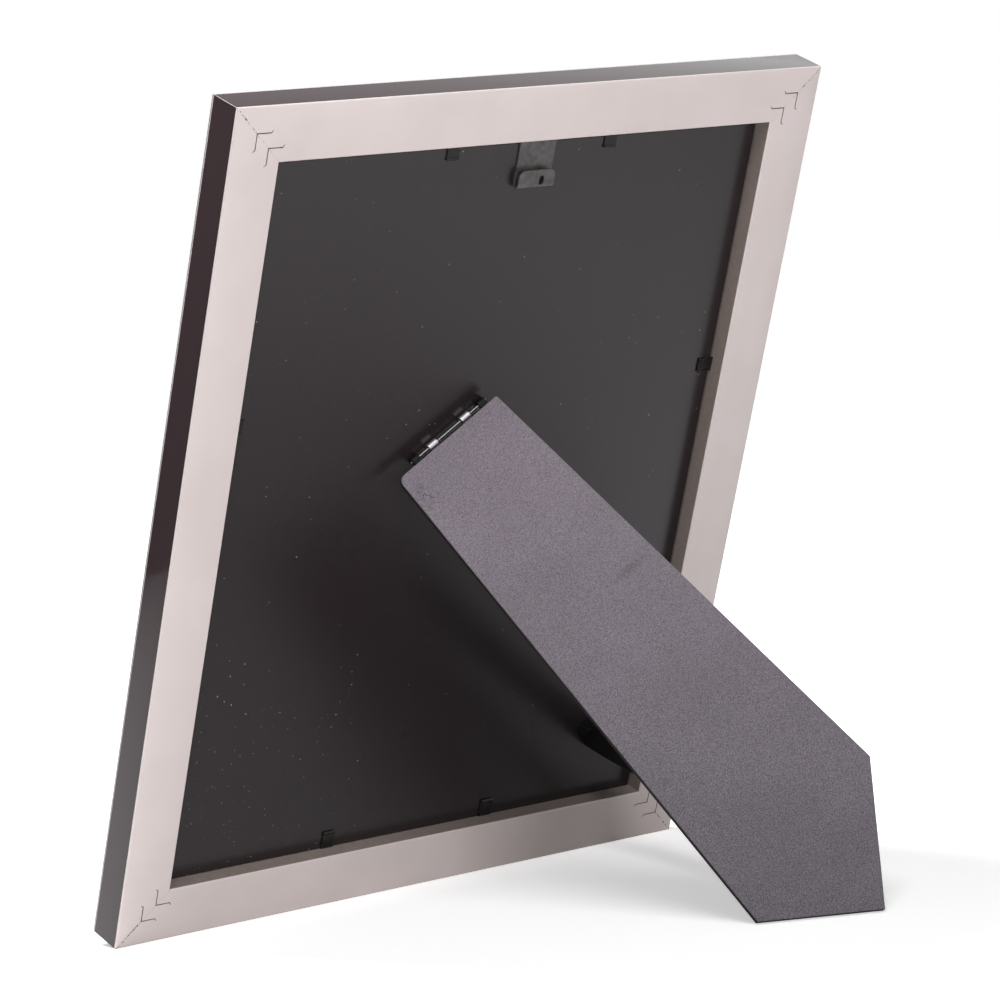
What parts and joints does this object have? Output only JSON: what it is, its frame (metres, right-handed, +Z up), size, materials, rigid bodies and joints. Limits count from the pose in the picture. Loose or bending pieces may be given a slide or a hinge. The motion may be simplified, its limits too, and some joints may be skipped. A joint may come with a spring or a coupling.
{
  "type": "easel back photo frame",
  "caption": "Easel back photo frame for an 8 x 10 inch print, with a mitred moulding, glass, a backing board held by flex tabs, a hanger clip and a folding strut on a ribbon stay",
  "frame": {"origin": "middle of the box round the standing frame, on the ground", "axes": "+Z up; +Y out of the frame's back, towards the strut's foot; +X to the viewer's right from the front"},
  "size_m": [0.243, 0.187, 0.2797],
  "materials": {
    "moulding": "satin, pale back; the outer sides carry a dark foil",
    "nail_steel": "dull",
    "black_steel": "black, satin",
    "zinc_steel": "bright zinc",
    "glass": "clear",
    "paper": "matt",
    "backing": "black satin paper on hardboard",
    "strut_board": "hardboard, black",
    "flock": "charcoal flocked paper",
    "ribbon": "black satin"
  },
  "bodies": {
    "frame": {"rail_top": "moulding", "rail_bottom": "moulding", "rail_left": "moulding", "rail_right": "moulding", "corner_nails_top_left": "nail_steel", "corner_nails_top_right": "nail_steel", "corner_nails_bottom_left": "nail_steel", "corner_nails_bottom_right": "nail_steel", "flex_tab_roots": "black_steel", "glass": "glass", "print_sheet": "paper", "backing_board": "backing", "hanger_clip": "black_steel", "hinge_leaf_board": "zinc_steel", "hinge_pin": "zinc_steel", "hinge_rivets_board": "zinc_steel", "ribbon_staple_board": "zinc_steel", "ribbon_stay": "ribbon"},
    "strut": {"strut_board": "strut_board", "strut_facing": "flock", "hinge_leaf_strut": "black_steel", "hinge_rivets_strut": "zinc_steel", "ribbon_staple_strut": "zinc_steel"},
    "tab_bottom_left": {"flex_tab_bottom_left": "black_steel"},
    "tab_bottom_right": {"flex_tab_bottom_right": "black_steel"},
    "tab_top_left": {"flex_tab_top_left": "black_steel"},
    "tab_top_right": {"flex_tab_top_right": "black_steel"},
    "tab_left": {"flex_tab_left": "black_steel"},
    "tab_right": {"flex_tab_right": "black_steel"}
  },
  "joints": [
    {"name": "strut_fold", "type": "hinge", "parent": "frame", "child": "strut", "pos_m": [0.0122, -0.02262, 0.16264], "axis": [-0.809, 0.2097, 0.5491], "range_deg": [0, 48.6], "deforming": ["ribbon_stay"]},
    {"name": "tab_bottom_left_bend", "type": "hinge", "parent": "frame", "child": "tab_bottom_left", "pos_m": [0.034, -0.07845, 0.01954], "axis": [-1, 0, 0], "range_deg": [0, 80]},
    {"name": "tab_bottom_right_bend", "type": "hinge", "parent": "frame", "child": "tab_bottom_right", "pos_m": [-0.035, -0.07845, 0.01954], "axis": [-1, 0, 0], "range_deg": [0, 80]},
    {"name": "tab_top_left_bend", "type": "hinge", "parent": "frame", "child": "tab_top_left", "pos_m": [0.029, 0.01306, 0.25916], "axis": [1, 0, 0], "range_deg": [0, 80]},
    {"name": "tab_top_right_bend", "type": "hinge", "parent": "frame", "child": "tab_top_right", "pos_m": [-0.037, 0.01306, 0.25916], "axis": [1, 0, 0], "range_deg": [0, 80]},
    {"name": "tab_left_bend", "type": "hinge", "parent": "frame", "child": "tab_left", "pos_m": [0.1025, -0.01985, 0.17298], "axis": [0, -0.3567, -0.9342], "range_deg": [0, 80]},
    {"name": "tab_right_bend", "type": "hinge", "parent": "frame", "child": "tab_right", "pos_m": [-0.1025, -0.01932, 0.17438], "axis": [0, 0.3567, 0.9342], "range_deg": [0, 80]}
  ]
}
